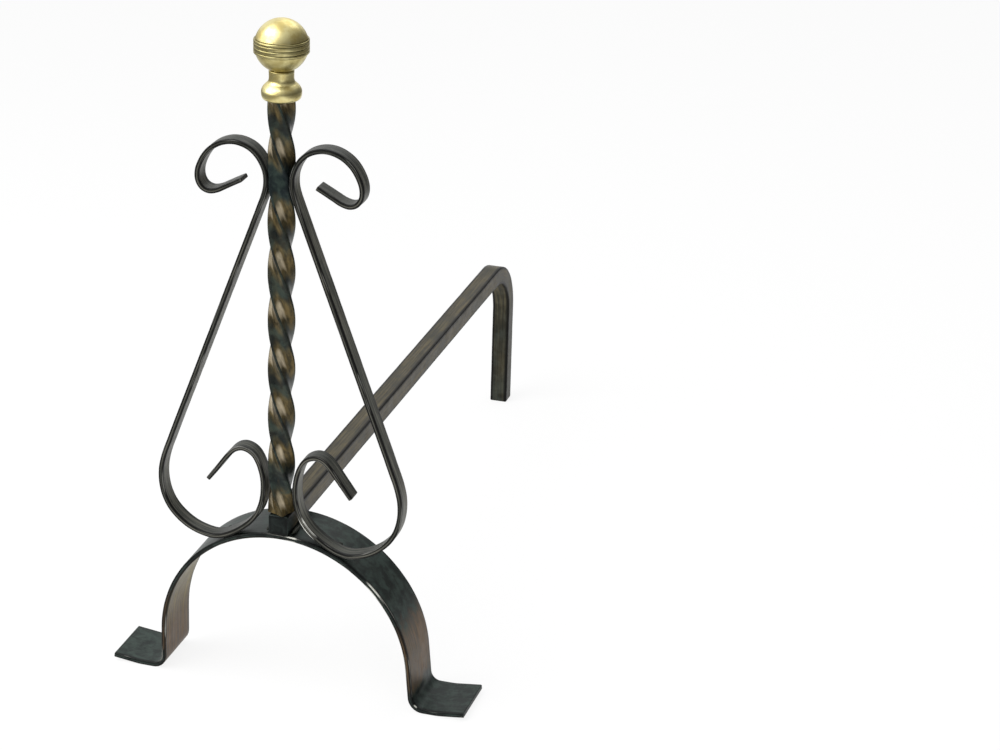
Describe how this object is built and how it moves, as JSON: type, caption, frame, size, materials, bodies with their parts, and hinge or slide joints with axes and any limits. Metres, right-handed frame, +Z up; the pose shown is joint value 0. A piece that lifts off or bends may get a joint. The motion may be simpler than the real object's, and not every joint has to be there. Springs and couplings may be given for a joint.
{
  "type": "andiron",
  "caption": "Wrought-iron andiron: an arched strap base, a twisted post between scrolls, a turned brass ball finial, and a long log bar bent down to a rear leg.",
  "frame": {"origin": "on the floor, under the middle of the bounding box", "axes": "+X to the right seen from the front, +Y to the back along the log bar, +Z up; the finial end is the front (-Y)"},
  "size_m": [0.229, 0.506, 0.4242],
  "materials": {
    "strap_iron": "black iron with a greenish grey bloom, satin wax",
    "bar_iron": "brown rubbed iron, satin",
    "post_iron": "hot-twisted iron, brown patina, glossy ridges",
    "scroll_iron": "black forged strip, satin",
    "finial_brass": "turned and polished",
    "stud_steel": "plain",
    "weld_iron": "rough weld, blackened"
  },
  "bodies": {
    "root": {"base_strap": "strap_iron", "log_bar": "bar_iron", "post_twisted": "post_iron", "scroll_left": "scroll_iron", "scroll_right": "scroll_iron", "finial_collar": "finial_brass", "finial_ball": "finial_brass", "finial_stud": "stud_steel", "weld_post_foot": "weld_iron", "weld_bar_left": "weld_iron", "weld_bar_right": "weld_iron", "weld_scroll_top_left": "weld_iron", "weld_scroll_top_right": "weld_iron", "weld_scroll_seat_left": "weld_iron", "weld_scroll_seat_right": "weld_iron"}
  },
  "joints": []
}
